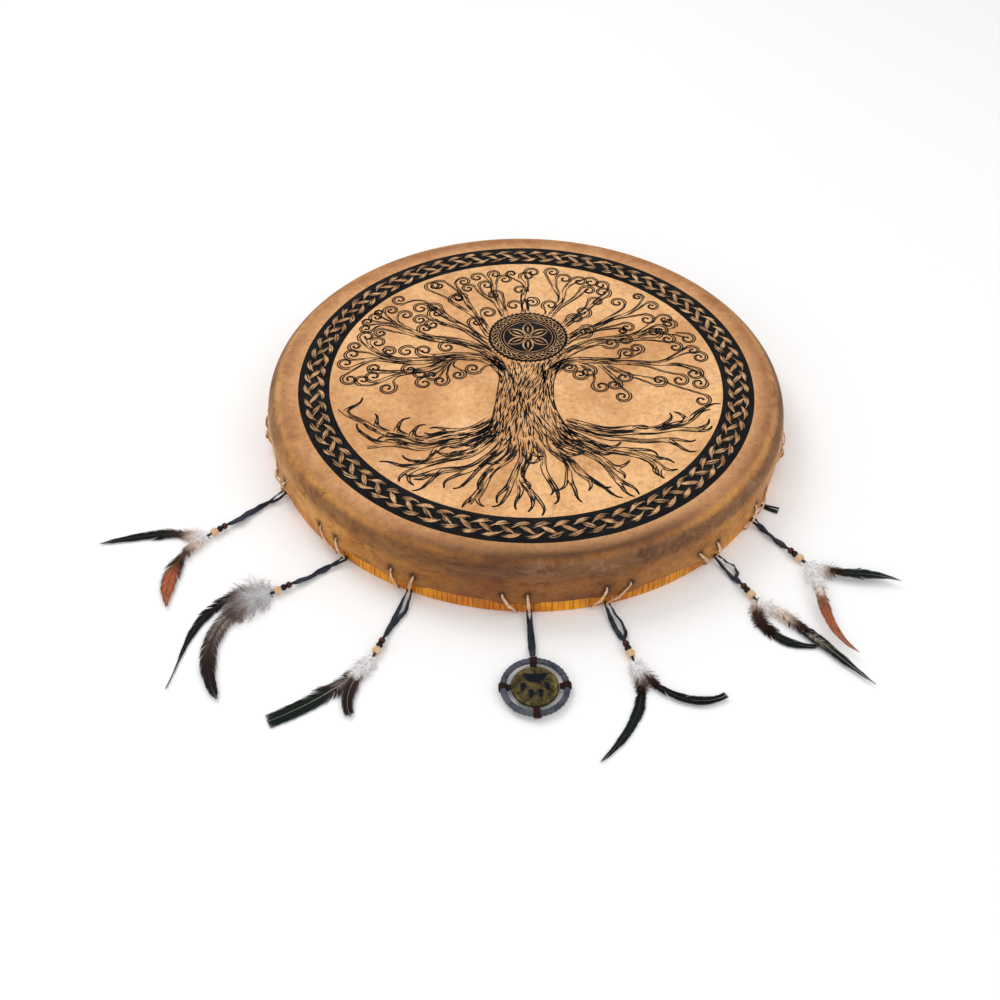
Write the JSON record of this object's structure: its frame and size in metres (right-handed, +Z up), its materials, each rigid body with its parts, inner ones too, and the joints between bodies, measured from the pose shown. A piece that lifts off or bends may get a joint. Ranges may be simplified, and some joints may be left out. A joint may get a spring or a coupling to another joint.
{
  "type": "frame drum",
  "caption": "Shallow wooden frame drum with a rawhide head laced to a grip cross, hung with feather danglers and a round amulet.",
  "frame": {"origin": "centre of the drum on the plane its back rim rests on", "axes": "+Z up through the head, +Y towards the top of the printed picture, amulet hanging at -Y"},
  "size_m": [0.7184, 0.661, 0.0566],
  "materials": {
    "hoop_wood": "satin lacquer",
    "rawhide_head": "matt, stretched",
    "rawhide_thong": "matt",
    "grip_leather": "matt",
    "black_cord": "matt",
    "slate_suede": "napped",
    "dark_red_bead": "gloss stain",
    "black_bead": "gloss stain",
    "pale_wood_bead": "satin",
    "brown_thread": "matt",
    "antique_brass": "aged",
    "black_feather": "soft sheen",
    "grey_feather": "soft sheen",
    "brown_feather": "soft sheen",
    "green_black_feather": "green sheen",
    "rust_feather": "soft sheen"
  },
  "bodies": {
    "drum": {"centre_ring": "grip_leather", "cord_stub": "black_cord", "drum_head": "rawhide_head", "frame_hoop": "hoop_wood", "grip_left": "grip_leather", "grip_lower": "grip_leather", "grip_right": "grip_leather", "grip_upper": "grip_leather", "rawhide_lacing": "rawhide_thong"},
    "left_high_loop": {"left_high_loop": "slate_suede"},
    "left_high_pendant": {"left_high_black_bead": "black_bead", "left_high_cord": "slate_suede", "left_high_feather_a": "black_feather", "left_high_feather_b": "rust_feather", "left_high_red_bead": "dark_red_bead", "left_high_wood_bead": "pale_wood_bead"},
    "left_mid_loop": {"left_mid_loop": "slate_suede"},
    "left_mid_pendant": {"left_mid_black_bead": "black_bead", "left_mid_cord": "slate_suede", "left_mid_feather_a": "black_feather", "left_mid_feather_b": "grey_feather", "left_mid_red_bead": "dark_red_bead", "left_mid_wood_bead": "pale_wood_bead"},
    "left_low_loop": {"left_low_loop": "slate_suede"},
    "left_low_pendant": {"left_low_black_bead": "black_bead", "left_low_cord": "slate_suede", "left_low_feather_a": "green_black_feather", "left_low_feather_b": "brown_feather", "left_low_red_bead": "dark_red_bead", "left_low_wood_bead": "pale_wood_bead"},
    "amulet_loop": {"amulet_loop": "slate_suede"},
    "amulet_pendant": {"amulet_cord": "slate_suede"},
    "right_low_loop": {"right_low_loop": "slate_suede"},
    "right_low_pendant": {"right_low_black_bead": "black_bead", "right_low_cord": "slate_suede", "right_low_feather_a": "green_black_feather", "right_low_feather_b": "black_feather", "right_low_red_bead": "dark_red_bead", "right_low_wood_bead": "pale_wood_bead"},
    "right_mid_loop": {"right_mid_loop": "slate_suede"},
    "right_mid_pendant": {"right_mid_black_bead": "black_bead", "right_mid_cord": "slate_suede", "right_mid_feather_a": "brown_feather", "right_mid_feather_b": "green_black_feather", "right_mid_red_bead": "dark_red_bead", "right_mid_wood_bead": "pale_wood_bead"},
    "right_high_loop": {"right_high_loop": "slate_suede"},
    "right_high_pendant": {"right_high_black_bead": "black_bead", "right_high_cord": "slate_suede", "right_high_feather_a": "green_black_feather", "right_high_feather_b": "rust_feather", "right_high_red_bead": "dark_red_bead", "right_high_wood_bead": "pale_wood_bead"},
    "amulet_disc": {"amulet_medallion": "antique_brass", "amulet_ring": "slate_suede", "amulet_tie_bottom": "brown_thread", "amulet_tie_left": "brown_thread", "amulet_tie_right": "brown_thread", "amulet_tie_top": "brown_thread"}
  },
  "joints": [
    {"name": "left_high_swing", "type": "hinge", "parent": "drum", "child": "left_high_loop", "pos_m": [-0.22774, -0.11157, 0.0047], "axis": [0, 0, 1], "range_deg": [-36, 12]},
    {"name": "left_high_lift", "type": "hinge", "parent": "left_high_loop", "child": "left_high_pendant", "pos_m": [-0.23135, -0.11488, 0.0047], "axis": [-0.6756, 0.7373, 0], "range_deg": [-85, 60]},
    {"name": "left_mid_swing", "type": "hinge", "parent": "drum", "child": "left_mid_loop", "pos_m": [-0.16301, -0.19427, 0.0047], "axis": [0, 0, 1], "range_deg": [-20, 25]},
    {"name": "left_mid_lift", "type": "hinge", "parent": "left_mid_loop", "child": "left_mid_pendant", "pos_m": [-0.16703, -0.19708, 0.0047], "axis": [-0.5736, 0.8192, 0], "range_deg": [-85, 60]},
    {"name": "left_low_swing", "type": "hinge", "parent": "drum", "child": "left_low_loop", "pos_m": [-0.10234, -0.23203, 0.0047], "axis": [0, 0, 1], "range_deg": [-30, 35]},
    {"name": "left_low_lift", "type": "hinge", "parent": "left_low_loop", "child": "left_low_pendant", "pos_m": [-0.10401, -0.23664, 0.0047], "axis": [-0.9397, 0.342, 0], "range_deg": [-85, 60]},
    {"name": "amulet_swing", "type": "hinge", "parent": "drum", "child": "amulet_loop", "pos_m": [0.00221, -0.25359, 0.0047], "axis": [0, 0, 1], "range_deg": [-30, 30]},
    {"name": "amulet_lift", "type": "hinge", "parent": "amulet_loop", "child": "amulet_pendant", "pos_m": [0.00247, -0.25848, 0.0047], "axis": [-0.9986, -0.0523, 0], "range_deg": [-85, 60]},
    {"name": "amulet_twist", "type": "hinge", "parent": "amulet_pendant", "child": "amulet_disc", "pos_m": [0.00635, -0.33248, 0.0051], "axis": [0.0523, -0.9986, 0], "range_deg": [-75, 75]},
    {"name": "right_low_swing", "type": "hinge", "parent": "drum", "child": "right_low_loop", "pos_m": [0.0699, -0.24378, 0.0047], "axis": [0, 0, 1], "range_deg": [-20, 35]},
    {"name": "right_low_lift", "type": "hinge", "parent": "right_low_loop", "child": "right_low_pendant", "pos_m": [0.07137, -0.24845, 0.0047], "axis": [-0.9537, -0.3007, 0], "range_deg": [-85, 60]},
    {"name": "right_mid_swing", "type": "hinge", "parent": "drum", "child": "right_mid_loop", "pos_m": [0.17166, -0.18667, 0.0047], "axis": [0, 0, 1], "range_deg": [-30, 18]},
    {"name": "right_mid_lift", "type": "hinge", "parent": "right_mid_loop", "child": "right_mid_pendant", "pos_m": [0.17407, -0.19094, 0.0047], "axis": [-0.8704, -0.4924, 0], "range_deg": [-85, 60]},
    {"name": "right_high_swing", "type": "hinge", "parent": "drum", "child": "right_high_loop", "pos_m": [0.21098, -0.14071, 0.0047], "axis": [0, 0, 1], "range_deg": [-16, 45]},
    {"name": "right_high_lift", "type": "hinge", "parent": "right_high_loop", "child": "right_high_pendant", "pos_m": [0.21393, -0.14462, 0.0047], "axis": [-0.7986, -0.6018, 0], "range_deg": [-85, 60]}
  ]
}
